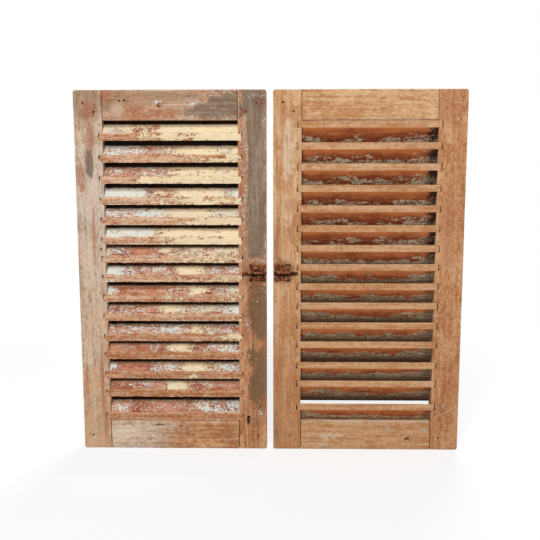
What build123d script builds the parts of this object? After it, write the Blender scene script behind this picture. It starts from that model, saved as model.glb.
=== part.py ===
"""A pair of old wooden louvred shutter leaves, side by side, each with a small iron slide bolt.

Millimetres, +Z up, +X to the right, the front faces -Y. The origin is at the foot of the pair, midway
between the leaves and midway through their thickness. A leaf is drawn in its own coordinates: x runs from
the hinge edge to the meeting edge, y from the weather face to the room face, and z up. The left leaf shows
its weather face to the front. The right leaf is turned half round, so it shows its room face.
"""

from build123d import *
from dataclasses import dataclass
from math import cos, pi, radians, sin
import os

# Leaf
LEAF_HEIGHT = 820
LEAF_WIDTH = 427
LEAF_THICKNESS = 28
LEAF_GAP = 15

# Stiles and rails
STILE_WIDTH = 63
TOP_RAIL_HEIGHT = 66
BOTTOM_RAIL_HEIGHT = 66
CORNER_RADIUS = 5
ARRIS_RADIUS = 1.5
TENON_LENGTH = 50
TENON_THICKNESS = 10
TENON_SHOULDER = 12
TENON_PLAY = 0.3
TOP_SHOULDER_GAP = 0.6
BOTTOM_SHOULDER_GAP = 1.5

# Slats: edges are cut plumb, flush with both faces, and each slat climbs from the weather to the room face
SLAT_COUNT = 15
SLAT_EDGE_HEIGHT = 15.5
SLAT_RISE = 41
SLAT_NOSE_RADIUS = 0.8
LOWEST_SLAT_DROP = 6
HOUSING_DEPTH = 10
HOUSING_PLAY = 0.3
SLAT_END_GAP = 3

# How far the top and lowest slats are let into the rails, or stand clear of them where it is below zero
LEFT_HEAD_SINK = 12
LEFT_FOOT_SINK = -2.5
RIGHT_HEAD_SINK = -1
RIGHT_FOOT_SINK = 12.4

# Hand-cut housings stray from an even pitch: shares of the pitch for each slat, from the top one down
LEFT_STRAY_SHARES = (
    0, -0.06, -0.09, -0.12, -0.12, -0.09, -0.01, 0.02, 0.01, 0.04, 0, 0.06, 0.05, 0.09, 0,
)
RIGHT_STRAY_SHARES = (
    0, -0.04, -0.06, -0.09, -0.09, -0.06, -0.04, 0.01, 0.05, 0.08, 0.07, 0.1, 0.03, 0.07, 0,
)

# Pins of the corner joints: shares of the stile's width, from the outer edge, and of the rail's height
PIN_DIAMETER = 5
PIN_PLAY = 0.1
PIN_SINK = 1
TOP_PIN_SHARES = ((0.34, 0.58), (0.72, 0.28))
LEFT_FOOT_PIN_SHARES = ((0.33, 0.47),)
RIGHT_FOOT_PIN_SHARES = ((0.7, 0.44),)

# Rotted slot in the left meeting stile, and hole bored in the right bottom rail
SLOT_LENGTH = 26
SLOT_WIDTH = 7
SLOT_DEPTH = 9
SLOT_FROM_EDGE = 42
SLOT_FROM_FOOT = 67
BORE_DIAMETER = 12
BORE_DEPTH = 15
BORE_FROM_STILE = 54
BORE_FROM_FOOT = 24

# Old nail holes in the left leaf's weather face, by shares of the top rail's length and height and of the
# hinge stile's width and height
NAIL_HOLE_DIAMETER = 3.6
NAIL_HOLE_DEPTH = 8
RAIL_NAIL_SHARES = ((0.131, 0.65), (0.168, 0.65))
STILE_NAIL_SHARES = ((0.83, 0.571),)

# Slide bolt on the front of each meeting stile
BOLT_HEIGHT = 415
PLATE_LENGTH = 38
PLATE_HEIGHT = 43
PLATE_THICKNESS = 1.5
PLATE_SETBACK = 1.5
EAR_RADIUS = 6
WAIST_DIP = 3.5
ROD_DIAMETER = 6.5
ROD_LENGTH = 54
ROD_SETBACK = 1.5
ROD_CHAMFER = 1
ROD_CLEARANCE = 0.3
ROD_THROW = 8
STRAP_WIDTH = 5
STRAP_THICKNESS = 1.3
STRAP_INSET = 6
STRAP_FOOT = 4.5
KNOB_DIAMETER = 5.5
KNOB_REACH = 9.5
KNOB_TURN = 70
KNOB_STEM_DIAMETER = 3
KNOB_STEM_REACH = 5
KNOB_SOCKET_DEPTH = 1.5
KNOB_SOCKET_PLAY = 0.05
KNOB_STOP_GAP = 0.5
SCREW_HEAD_DIAMETER = 6
SCREW_HEAD_HEIGHT = 1.6
SCREW_RIM_SHARE = 0.4
SCREW_CROWN_SHARE = 0.6
SCREW_SHANK_DIAMETER = 2.5
SCREW_SHANK_LENGTH = 12
SCREW_PLAY = 0.15

# Length by which a cut runs past the faces that it breaks through
OVERRUN = 2

# Sizes worked out from the values above
FIELD_HEAD = LEAF_HEIGHT - TOP_RAIL_HEIGHT
FIELD_LEFT = STILE_WIDTH
FIELD_RIGHT = LEAF_WIDTH - STILE_WIDTH
SLAT_START = FIELD_LEFT - HOUSING_DEPTH + SLAT_END_GAP
SLAT_LENGTH = FIELD_RIGHT + HOUSING_DEPTH - SLAT_END_GAP - SLAT_START
TENON_LOW_Y = (LEAF_THICKNESS - TENON_THICKNESS) / 2
MORTISE_DEPTH = TENON_LENGTH + TENON_PLAY
ROD_RADIUS = ROD_DIAMETER / 2
ROD_STANDOFF = ROD_CLEARANCE + ROD_RADIUS
STRAP_BORE_RADIUS = ROD_RADIUS + ROD_CLEARANCE
STRAP_OUTER_RADIUS = STRAP_BORE_RADIUS + STRAP_THICKNESS
OUTER_STRAP_PLACE = PLATE_SETBACK + STRAP_INSET + STRAP_WIDTH / 2
STRAP_SPACING = STRAP_WIDTH + KNOB_DIAMETER + ROD_THROW + KNOB_STOP_GAP + KNOB_STOP_GAP
INNER_STRAP_PLACE = OUTER_STRAP_PLACE + STRAP_SPACING
KNOB_PLACE = INNER_STRAP_PLACE - STRAP_WIDTH / 2 - KNOB_STOP_GAP - KNOB_DIAMETER / 2
PLATE_PLACE = PLATE_SETBACK + PLATE_LENGTH / 2
EAR_REACH_X = PLATE_LENGTH / 2 - EAR_RADIUS
EAR_REACH_Z = PLATE_HEIGHT / 2 - EAR_RADIUS
EAR_PLACES = [(x, z) for x in (-EAR_REACH_X, EAR_REACH_X) for z in (-EAR_REACH_Z, EAR_REACH_Z)]

BOLT_EDGE_X = -LEAF_GAP / 2
BOLT_FACE_Y = -LEAF_THICKNESS / 2
ROD_AXIS_Y = BOLT_FACE_Y - PLATE_THICKNESS - ROD_STANDOFF


@dataclass
class Leaf:
    """One leaf: its name, its plane, its side of the pair, and what was cut by hand for it."""

    name: str
    plane: Plane
    side: int
    head_sink: float
    foot_sink: float
    stray_shares: tuple
    foot_pin_shares: tuple

    def face_plane(self, depth):
        """The elevation at a depth below the weather face: the leaf's x and z, normal outwards."""
        origin = self.plane.from_local_coords((0, depth, 0))
        return Plane(origin=origin, x_dir=self.plane.x_dir, z_dir=-self.plane.y_dir)

    def section_plane(self, x):
        """The cross-section at x: thickness across, height up, normal towards the meeting edge."""
        origin = self.plane.from_local_coords((x, 0, 0))
        return Plane(origin=origin, x_dir=self.plane.y_dir, z_dir=self.plane.x_dir)

    def slat_foot(self, number):
        """Height of the lower edge of a slat at the weather face. Slat 0 is the top one."""
        steps = SLAT_COUNT - 1 - number
        lowest = BOTTOM_RAIL_HEIGHT - self.foot_sink
        highest = FIELD_HEAD + self.head_sink - SLAT_EDGE_HEIGHT - SLAT_RISE
        pitch = (highest - lowest - LOWEST_SLAT_DROP) / (SLAT_COUNT - 1)
        drop = LOWEST_SLAT_DROP if steps else 0
        return lowest + drop + (steps + self.stray_shares[number]) * pitch

    def slat_outline(self, number, past, play):
        """Sloping outline of a slat, or of its housing, running past both faces, with play above it."""
        climb = SLAT_RISE / LEAF_THICKNESS * past
        low = self.slat_foot(number) - climb
        high = self.slat_foot(number) + SLAT_RISE + climb
        top = SLAT_EDGE_HEIGHT + play
        back = LEAF_THICKNESS + past
        return ((-past, low), (back, high), (back, high + top), (-past, low + top))

    def pin_places(self):
        """Places of the joint pins, as the leaf's x and z, mirrored onto both stiles."""
        places = []
        for across, up in TOP_PIN_SHARES:
            places.append((across * STILE_WIDTH, FIELD_HEAD + up * TOP_RAIL_HEIGHT))
        for across, up in self.foot_pin_shares:
            places.append((across * STILE_WIDTH, up * BOTTOM_RAIL_HEIGHT))
        return places + [(LEAF_WIDTH - x, z) for x, z in places]


LEFT = Leaf(
    name="left",
    plane=Plane(
        origin=(-LEAF_GAP / 2 - LEAF_WIDTH, -LEAF_THICKNESS / 2, 0), x_dir=(1, 0, 0), z_dir=(0, 0, 1)
    ),
    side=-1,
    head_sink=LEFT_HEAD_SINK,
    foot_sink=LEFT_FOOT_SINK,
    stray_shares=LEFT_STRAY_SHARES,
    foot_pin_shares=LEFT_FOOT_PIN_SHARES,
)
RIGHT = Leaf(
    name="right",
    plane=Plane(
        origin=(LEAF_GAP / 2 + LEAF_WIDTH, LEAF_THICKNESS / 2, 0), x_dir=(-1, 0, 0), z_dir=(0, 0, 1)
    ),
    side=1,
    head_sink=RIGHT_HEAD_SINK,
    foot_sink=RIGHT_FOOT_SINK,
    stray_shares=RIGHT_STRAY_SHARES,
    foot_pin_shares=RIGHT_FOOT_PIN_SHARES,
)


def save(piece, name):
    """Labels a finished piece and writes it."""
    piece.part.label = name
    export_step(piece.part, f"parts/{name}.step")


def stile(leaf, outer, inner):
    """An upright with a slanted housing for each slat, a mortise for each rail and the pins' holes."""
    inward = 1 if inner > outer else -1
    housing_end = inner - inward * HOUSING_DEPTH
    mortise_end = inner - inward * MORTISE_DEPTH
    edge_middle = leaf.plane.from_local_coords((outer, LEAF_THICKNESS / 2, LEAF_HEIGHT / 2))
    top_tenon_low = FIELD_HEAD + TENON_SHOULDER
    tenon_spans = (
        (TENON_SHOULDER, BOTTOM_RAIL_HEIGHT - TENON_SHOULDER),
        (top_tenon_low, LEAF_HEIGHT - TENON_SHOULDER),
    )
    with BuildPart() as upright:
        with BuildSketch(leaf.face_plane(0)) as elevation:
            with Locations(((outer + inner) / 2, LEAF_HEIGHT / 2)):
                Rectangle(STILE_WIDTH, LEAF_HEIGHT)
            corners = elevation.vertices().sort_by(Axis.X, reverse=inward < 0)[:2]
            fillet(corners, CORNER_RADIUS)
        extrude(amount=-LEAF_THICKNESS)
        outer_edge = upright.faces().sort_by_distance(edge_middle)[0]
        fillet(outer_edge.edges().filter_by(Axis.Z), ARRIS_RADIUS)
        with BuildSketch(leaf.section_plane(housing_end)):
            for number in range(SLAT_COUNT):
                Polygon(*leaf.slat_outline(number, OVERRUN, HOUSING_PLAY), align=None)
        extrude(amount=inward * (HOUSING_DEPTH + OVERRUN), mode=Mode.SUBTRACT)
        with BuildSketch(leaf.section_plane(mortise_end)):
            for low, high in tenon_spans:
                with Locations((LEAF_THICKNESS / 2, (low + high + TENON_PLAY) / 2)):
                    Rectangle(TENON_THICKNESS + TENON_PLAY, high + TENON_PLAY - low)
        extrude(amount=inward * (MORTISE_DEPTH + OVERRUN), mode=Mode.SUBTRACT)
        with BuildSketch(leaf.face_plane(LEAF_THICKNESS)):
            with Locations(*[place for place in leaf.pin_places() if abs(place[0] - outer) < STILE_WIDTH]):
                Circle(PIN_DIAMETER / 2 + PIN_PLAY)
        extrude(amount=LEAF_THICKNESS, mode=Mode.SUBTRACT)
    return upright


def rail(leaf, low, height, shoulder_gap, nearest_slat):
    """A cross rail with a tenon at each end, cut away where the nearest slat is let into it.

    The shoulders have opened at both faces, and still meet the stiles at the middle of the thickness.
    """
    length = FIELD_RIGHT - FIELD_LEFT
    middle = (LEAF_WIDTH / 2, low + height / 2)
    with BuildPart() as cross:
        with BuildSketch(leaf.face_plane(0)):
            with Locations(middle):
                Rectangle(length - shoulder_gap - shoulder_gap, height)
        extrude(amount=-LEAF_THICKNESS)
        with BuildSketch(leaf.face_plane(TENON_LOW_Y)):
            with Locations(middle):
                Rectangle(length, height)
                Rectangle(length + TENON_LENGTH + TENON_LENGTH, height - TENON_SHOULDER - TENON_SHOULDER)
        extrude(amount=-TENON_THICKNESS)
        with BuildSketch(leaf.section_plane(FIELD_LEFT)):
            Polygon(*leaf.slat_outline(nearest_slat, OVERRUN, HOUSING_PLAY), align=None)
        extrude(amount=length, mode=Mode.SUBTRACT)
        with BuildSketch(leaf.face_plane(LEAF_THICKNESS)):
            with Locations(*[place for place in leaf.pin_places() if low < place[1] < low + height]):
                Circle(PIN_DIAMETER / 2 + PIN_PLAY)
        extrude(amount=LEAF_THICKNESS, mode=Mode.SUBTRACT)
    return cross


def slat(leaf, number):
    """A fixed slat with rounded arrises."""
    with BuildPart() as blade:
        with BuildSketch(leaf.section_plane(SLAT_START)) as profile:
            Polygon(*leaf.slat_outline(number, 0, 0), align=None)
            fillet(profile.vertices(), SLAT_NOSE_RADIUS)
        extrude(amount=SLAT_LENGTH)
    return blade


def joint_pins(leaf):
    """The pins through the corner joints, sunk a little below both faces."""
    with BuildPart() as pegs:
        with BuildSketch(leaf.face_plane(LEAF_THICKNESS - PIN_SINK)):
            with Locations(*leaf.pin_places()):
                Circle(PIN_DIAMETER / 2)
        extrude(amount=LEAF_THICKNESS - PIN_SINK - PIN_SINK)
    return pegs


def screw_pilots(upright, side):
    """Bores the plate's screw holes into the front of a meeting stile, on one side of the pair."""
    middle = (side * (LEAF_GAP / 2 + PLATE_PLACE), BOLT_FACE_Y, BOLT_HEIGHT)
    with BuildPart() as bored:
        add(upright.part)
        with BuildSketch(Plane(origin=middle, x_dir=(1, 0, 0), z_dir=(0, -1, 0))):
            with Locations(*EAR_PLACES):
                Circle(SCREW_SHANK_DIAMETER / 2 + SCREW_PLAY)
        extrude(amount=-SCREW_SHANK_LENGTH - SCREW_PLAY, mode=Mode.SUBTRACT)
    return bored


def rotted_slot(upright):
    """Cuts the slot that has rotted into the face of the left meeting stile."""
    with BuildPart() as slotted:
        add(upright.part)
        with BuildSketch(LEFT.face_plane(0)):
            with Locations((LEAF_WIDTH - SLOT_FROM_EDGE, SLOT_FROM_FOOT)):
                SlotOverall(SLOT_LENGTH, SLOT_WIDTH, rotation=90)
        extrude(amount=-SLOT_DEPTH, mode=Mode.SUBTRACT)
    return slotted


def nail_holes(board, left, right, low, high, shares):
    """Bores old nail holes into the weather face of a board of the left leaf, by shares of its face."""
    places = [(left + across * (right - left), low + up * (high - low)) for across, up in shares]
    with BuildPart() as bored:
        add(board.part)
        with BuildSketch(LEFT.face_plane(0)):
            with Locations(*places):
                Circle(NAIL_HOLE_DIAMETER / 2)
        extrude(amount=-NAIL_HOLE_DEPTH, mode=Mode.SUBTRACT)
    return bored


def bored_hole(cross):
    """Bores the blind hole in the room face of the right bottom rail."""
    with BuildPart() as bored:
        add(cross.part)
        with BuildSketch(RIGHT.face_plane(LEAF_THICKNESS)):
            with Locations((FIELD_LEFT + BORE_FROM_STILE, BORE_FROM_FOOT)):
                Circle(BORE_DIAMETER / 2)
        extrude(amount=BORE_DEPTH, mode=Mode.SUBTRACT)
    return bored


def bolt_plate():
    """Left bolt's back plate: four rounded ears with hollowed edges between them."""
    half_length = PLATE_LENGTH / 2
    half_height = PLATE_HEIGHT / 2
    knuckle = EAR_RADIUS * sin(pi / 4)
    top_middle = (0, half_height - WAIST_DIP)
    ear_top = (EAR_REACH_X, half_height)
    ear_knuckle = (EAR_REACH_X + knuckle, EAR_REACH_Z + knuckle)
    ear_side = (half_length, EAR_REACH_Z)
    side_middle = (half_length - WAIST_DIP, 0)
    middle = (BOLT_EDGE_X - PLATE_PLACE, BOLT_FACE_Y, BOLT_HEIGHT)
    with BuildPart() as plate:
        with BuildSketch(Plane(origin=middle, x_dir=(1, 0, 0), z_dir=(0, -1, 0))):
            with BuildLine():
                TangentArc(top_middle, ear_top, tangent=(1, 0))
                ThreePointArc(ear_top, ear_knuckle, ear_side)
                TangentArc(side_middle, ear_side, tangent=(0, 1))
                mirror(about=Plane.YZ)
                mirror(about=Plane.XZ)
            make_face()
            with Locations(*EAR_PLACES):
                Circle(SCREW_SHANK_DIAMETER / 2 + SCREW_PLAY, mode=Mode.SUBTRACT)
        extrude(amount=PLATE_THICKNESS)
    return plate


def bolt_straps():
    """Left bolt's two straps, each arched over the rod with a foot above and below it."""
    foot_width = STRAP_OUTER_RADIUS + STRAP_FOOT
    plate_front = ROD_STANDOFF
    with BuildPart() as straps:
        for place in (OUTER_STRAP_PLACE, INNER_STRAP_PLACE):
            middle = (BOLT_EDGE_X - place, ROD_AXIS_Y, BOLT_HEIGHT)
            with BuildSketch(Plane(origin=middle, x_dir=(0, 1, 0), z_dir=(1, 0, 0))):
                Circle(STRAP_OUTER_RADIUS)
                with Locations((plate_front / 2, 0)):
                    Rectangle(plate_front, STRAP_OUTER_RADIUS + STRAP_OUTER_RADIUS)
                with Locations((plate_front - STRAP_THICKNESS / 2, 0)):
                    Rectangle(STRAP_THICKNESS, foot_width + foot_width)
                Circle(STRAP_BORE_RADIUS, mode=Mode.SUBTRACT)
                with Locations(((plate_front + OVERRUN) / 2, 0)):
                    Rectangle(
                        plate_front + OVERRUN, STRAP_BORE_RADIUS + STRAP_BORE_RADIUS, mode=Mode.SUBTRACT
                    )
                with Locations((plate_front + STRAP_OUTER_RADIUS, 0)):
                    Rectangle(
                        STRAP_OUTER_RADIUS + STRAP_OUTER_RADIUS, foot_width + foot_width, mode=Mode.SUBTRACT
                    )
            extrude(amount=STRAP_WIDTH / 2, both=True)
    return straps


def knob_plane(reach):
    """Plane across the left knob's stem at a reach from the rod's axis, with its normal along the stem."""
    out = -cos(radians(KNOB_TURN))
    down = -sin(radians(KNOB_TURN))
    origin = (BOLT_EDGE_X - KNOB_PLACE, ROD_AXIS_Y + out * reach, BOLT_HEIGHT + down * reach)
    return Plane(origin=origin, x_dir=(1, 0, 0), z_dir=(0, out, down))


def bolt_rod():
    """Left bolt's rod at rest, drawn back, with a socket for its knob."""
    tip = (BOLT_EDGE_X - ROD_SETBACK, ROD_AXIS_Y, BOLT_HEIGHT)
    with BuildPart() as rod:
        with BuildSketch(Plane(origin=tip, x_dir=(0, 1, 0), z_dir=(1, 0, 0))):
            Circle(ROD_RADIUS)
        extrude(amount=-ROD_LENGTH)
        chamfer(rod.edges().filter_by(GeomType.CIRCLE), ROD_CHAMFER)
        with BuildSketch(knob_plane(ROD_RADIUS - KNOB_SOCKET_DEPTH)):
            Circle(KNOB_STEM_DIAMETER / 2 + KNOB_SOCKET_PLAY)
        extrude(amount=KNOB_SOCKET_DEPTH + OVERRUN, mode=Mode.SUBTRACT)
    return rod


def bolt_knob():
    """Left bolt's knob, hanging down: a turned stem set in the rod, with a grip tapered at both ends."""
    stem_radius = KNOB_STEM_DIAMETER / 2
    grip_radius = KNOB_DIAMETER / 2
    grip_taper = grip_radius - stem_radius
    stem_start = (stem_radius, ROD_RADIUS - KNOB_SOCKET_DEPTH)
    grip_start = (stem_radius, KNOB_STEM_REACH)
    grip_low = (grip_radius, KNOB_STEM_REACH + grip_taper)
    grip_high = (grip_radius, KNOB_REACH - grip_taper)
    grip_end = (stem_radius, KNOB_REACH)
    across = knob_plane(0)
    along = Plane(origin=across.origin, x_dir=across.x_dir, z_dir=-across.y_dir)
    with BuildPart() as knob:
        with BuildSketch(along):
            with BuildLine():
                Polyline(
                    (0, KNOB_REACH), (0, stem_start[1]), stem_start, grip_start,
                    grip_low, grip_high, grip_end,
                    close=True,
                )
            make_face()
        revolve(axis=Axis(origin=across.origin, direction=across.z_dir))
    return knob


def bolt_screws():
    """Left bolt's four screws: bevelled heads on the plate's ears, with shanks in the stile."""
    head_radius = SCREW_HEAD_DIAMETER / 2
    rim = -SCREW_HEAD_HEIGHT * SCREW_RIM_SHARE
    crown_radius = head_radius * SCREW_CROWN_SHARE
    with BuildPart() as screws:
        for x, z in EAR_PLACES:
            head = (BOLT_EDGE_X - PLATE_PLACE + x, BOLT_FACE_Y - PLATE_THICKNESS, BOLT_HEIGHT + z)
            across = Plane(origin=head, x_dir=(1, 0, 0), z_dir=(0, 0, 1))
            with BuildSketch(across):
                with BuildLine():
                    Polyline(
                        (0, 0), (head_radius, 0), (head_radius, rim), (crown_radius, -SCREW_HEAD_HEIGHT),
                        (0, -SCREW_HEAD_HEIGHT),
                        close=True,
                    )
                make_face()
            revolve(axis=Axis(origin=head, direction=(0, 1, 0)))
            with BuildSketch(Plane(origin=head, x_dir=(1, 0, 0), z_dir=(0, 1, 0))):
                Circle(SCREW_SHANK_DIAMETER / 2)
            extrude(amount=SCREW_SHANK_LENGTH)
    return screws


def mirrored(piece):
    """The same piece on the right leaf, across the middle of the pair."""
    with BuildPart() as other:
        mirror(piece.part, about=Plane.YZ)
    return other


os.makedirs("parts", exist_ok=True)

for leaf in (LEFT, RIGHT):
    hinge_stile = stile(leaf, 0, FIELD_LEFT)
    meeting_stile = screw_pilots(stile(leaf, LEAF_WIDTH, FIELD_RIGHT), leaf.side)
    top_rail = rail(leaf, FIELD_HEAD, TOP_RAIL_HEIGHT, TOP_SHOULDER_GAP, 0)
    bottom_rail = rail(leaf, 0, BOTTOM_RAIL_HEIGHT, BOTTOM_SHOULDER_GAP, SLAT_COUNT - 1)
    if leaf is LEFT:
        meeting_stile = rotted_slot(meeting_stile)
        hinge_stile = nail_holes(hinge_stile, 0, STILE_WIDTH, 0, LEAF_HEIGHT, STILE_NAIL_SHARES)
        top_rail = nail_holes(top_rail, FIELD_LEFT, FIELD_RIGHT, FIELD_HEAD, LEAF_HEIGHT, RAIL_NAIL_SHARES)
    else:
        bottom_rail = bored_hole(bottom_rail)
    save(hinge_stile, f"{leaf.name}_hinge_stile")
    save(meeting_stile, f"{leaf.name}_meeting_stile")
    save(top_rail, f"{leaf.name}_top_rail")
    save(bottom_rail, f"{leaf.name}_bottom_rail")
    for number in range(SLAT_COUNT):
        save(slat(leaf, number), f"{leaf.name}_slat_{number + 1:02d}")
    save(joint_pins(leaf), f"{leaf.name}_joint_pins")

for make in (bolt_plate, bolt_straps, bolt_rod, bolt_knob, bolt_screws):
    piece = make()
    save(piece, f"left_{make.__name__}")
    save(mirrored(piece), f"right_{make.__name__}")
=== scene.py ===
"""The looks of a pair of old louvred shutters: worn wood, flaking paint, rusty bolts and a plain stage.

Meshes are in metres and finishes in millimetres, +Z up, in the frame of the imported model. The left leaf
turns its weather face to the front, which is -Y, and the right leaf its room face.
"""

import math
from collections import namedtuple

import bmesh
import bpy
from bpy.props import FloatProperty, FloatVectorProperty, PointerProperty
from mathutils import Matrix, Vector, noise


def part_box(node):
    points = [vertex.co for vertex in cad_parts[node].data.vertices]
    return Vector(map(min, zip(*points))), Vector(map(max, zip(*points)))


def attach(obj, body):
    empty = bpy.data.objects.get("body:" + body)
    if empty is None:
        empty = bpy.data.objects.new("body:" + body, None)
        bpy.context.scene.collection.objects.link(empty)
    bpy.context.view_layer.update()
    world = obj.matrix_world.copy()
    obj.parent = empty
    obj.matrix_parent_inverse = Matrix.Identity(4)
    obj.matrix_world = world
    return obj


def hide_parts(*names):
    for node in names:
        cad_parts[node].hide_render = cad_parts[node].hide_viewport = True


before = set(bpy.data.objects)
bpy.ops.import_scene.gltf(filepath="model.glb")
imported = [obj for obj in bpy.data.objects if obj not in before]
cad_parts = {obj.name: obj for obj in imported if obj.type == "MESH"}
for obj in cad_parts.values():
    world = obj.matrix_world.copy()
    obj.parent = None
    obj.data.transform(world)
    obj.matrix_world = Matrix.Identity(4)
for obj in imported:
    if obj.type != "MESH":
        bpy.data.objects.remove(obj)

bl_info = {
    "name": "Louvred Shutters",
    "version": (1, 0, 0),
    "blender": (4, 5, 0),
    "location": "3D View > Sidebar > Shutters",
    "description": "Dresses a pair of old louvred shutters in worn wood, flaking paint and rust",
    "category": "Object",
}

MM = 0.001
BODY = "shutters"
LEAVES = ("left", "right")
WEATHER_SIDE = {"left": -1, "right": 1}
STILES = ("hinge_stile", "meeting_stile")
RAILS = ("top_rail", "bottom_rail")
BOLT_FIXED = ("bolt_plate", "bolt_straps", "bolt_screws")
BOLT_MOVING = ("bolt_rod", "bolt_knob")
SLAT_COUNT = sum(name.startswith("left_slat_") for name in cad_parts)
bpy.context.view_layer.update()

# Cuts along a slat, down its slope and up its edges
LENGTH_CUTS, SLOPE_CUTS, EDGE_CUTS = 79, 11, 4
# How much of the full wear the slats of each leaf and the boards show
SLAT_WEAR_SHARE = {"left": 1, "right": 0.25}
BOARD_CHIP_SHARE, BOARD_WAVE_SHARE = 0.4, 0.5
# What part of an uneven surface's depth goes inwards
HALF_IN, MOST_IN = 0.5, 0.9
# Angles above which two faces meet at an arris and below which they are one plane
SHARP, FLAT = math.radians(40), math.radians(0.5)
# The usual lowest value and span of a cloudy pattern
CLOUD_LOW, CLOUD_SPAN = 0.28, 0.44
# Gloss of old wood and rust
GLOSS = 0.12
WHITE = (1, 1, 1, 1)
# Where the floor starts and ends to fade to white, in millimetres from its middle
FLOOR_FADE = (700, 1900)


def corners(node):
    """A node's lowest and highest corners at rest, in millimetres."""
    low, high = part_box(node)
    return low / MM, high / MM


# Sizes of the leaves in millimetres, from the frame
FIELD_OUTER = corners("right_hinge_stile")[0].x
FIELD_INNER = corners("right_meeting_stile")[1].x
HALF_THICKNESS = corners("right_hinge_stile")[1].y
LEAF_HEIGHT = corners("right_hinge_stile")[1].z
FIELD_FOOT = corners("left_bottom_rail")[1].z
ROD_FOOT = corners("left_bolt_rod")[0].z
LOWEST_SLAT_HEAD = corners(f"left_slat_{SLAT_COUNT:02d}")[1].z

# Paint left on each slat's weather side, from the top slat down: cream on its face, white on its face and
# cream on its edge, as spans of (start, end, cover). Starts and ends are shares of the field's width from
# the hinge stile.
PAINT_SPAN_SHARES = (
    (
        ((0, 0.23, 0.72), (0.23, 0.43, 0.5), (0.43, 1, 0.98)),
        ((0, 0.22, 0.6), (0.6, 0.67, 0.5)),
        ((0.2, 0.43, 0.45), (0.43, 0.56, 0.96), (0.56, 0.68, 0.74), (0.68, 1, 0.97)),
    ),
    (
        ((0.41, 0.59, 0.5), (0.59, 1, 0.85)),
        ((0, 0.23, 0.72), (0.23, 0.6, 0.45)),
        ((0.2, 0.58, 0.16), (0.58, 0.84, 0.45), (0.84, 1, 0.8)),
    ),
    (
        ((0.26, 0.5, 0.4), (0.5, 1, 0.84)),
        ((0, 0.26, 0.45), (0.26, 0.5, 0.5), (0.93, 1, 0.6)),
        ((0.23, 1, 0.95),),
    ),
    (
        ((0.32, 0.56, 0.5), (0.56, 0.94, 0.95)),
        ((0, 0.33, 0.92), (0.93, 1, 0.85)),
        ((0.33, 0.44, 0.6), (0.44, 0.57, 0.3), (0.57, 0.83, 0.92), (0.83, 0.92, 0.5), (0.92, 1, 0.8)),
    ),
    (
        ((0.45, 0.76, 0.9), (0.76, 1, 0.7)),
        ((0, 0.2, 0.62), (0.2, 0.5, 0.78), (0.8, 1, 0.4)),
        ((0.22, 0.33, 0.55), (0.33, 0.6, 0.2), (0.6, 1, 0.93)),
    ),
    (
        ((0.38, 1, 0.9),),
        ((0, 0.4, 0.93), (0.69, 0.76, 0.8)),
        ((0.36, 0.5, 0.5), (0.5, 1, 0.95)),
    ),
    (
        ((0.4, 0.48, 0.8), (0.48, 0.62, 0.4), (0.62, 1, 0.6)),
        ((0, 0.14, 0.6), (0.14, 0.4, 0.25), (0.48, 1, 0.5)),
        ((0.1, 0.53, 0.15), (0.53, 1, 0.62)),
    ),
    (
        ((0.5, 0.71, 0.97), (0.71, 0.8, 0.6)),
        ((0, 0.12, 0.95), (0.12, 0.5, 0.52), (0.71, 1, 0.5)),
        ((0.44, 1, 0.52),),
    ),
    (
        ((0.42, 0.58, 0.35), (0.58, 0.78, 0.72), (0.88, 1, 0.65)),
        ((0, 0.06, 0.8), (0.06, 0.3, 0.15), (0.78, 1, 0.5)),
        ((0.42, 0.68, 0.45), (0.81, 1, 0.55)),
    ),
    (
        ((0.39, 0.55, 0.88), (0.55, 0.75, 0.5), (0.75, 0.88, 0.65)),
        ((0, 0.3, 0.5), (0.55, 0.92, 0.55), (0.92, 1, 0.9)),
        ((0.54, 0.62, 0.6), (0.81, 0.87, 0.6), (0.93, 1, 0.6)),
    ),
    (
        ((0.6, 0.75, 0.72), (0.75, 0.9, 0.4)),
        ((0, 0.4, 0.5), (0.4, 0.62, 0.65), (0.75, 1, 0.5)),
        ((0.75, 0.87, 0.5), (0.88, 1, 0.72)),
    ),
    (
        ((0.43, 0.64, 0.9),),
        ((0.08, 0.2, 0.48), (0.3, 0.43, 0.45), (0.64, 0.76, 0.3), (0.76, 1, 0.6)),
        (),
    ),
    (
        ((0.5, 0.57, 0.6), (0.57, 0.76, 0.8), (0.79, 0.88, 0.65)),
        ((0, 0.05, 0.7), (0.05, 0.3, 0.12), (0.3, 0.58, 0.55), (0.76, 1, 0.6)),
        ((0.58, 0.74, 0.5),),
    ),
    (
        ((0.4, 0.6, 0.82), (0.7, 0.78, 0.75)),
        ((0.02, 0.25, 0.3), (0.25, 0.36, 0.62), (0.6, 0.7, 0.4), (0.78, 1, 0.28)),
        ((0.7, 0.76, 0.45),),
    ),
    (
        (),
        ((0.01, 0.14, 0.58), (0.14, 0.33, 0.3), (0.33, 0.68, 0.38), (0.68, 0.93, 0.58), (0.93, 1, 0.55)),
        (),
    ),
)
SPAN_FADE_SHARE = 0.12
SPAN_STRAY_SHARE = 0.05

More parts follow.
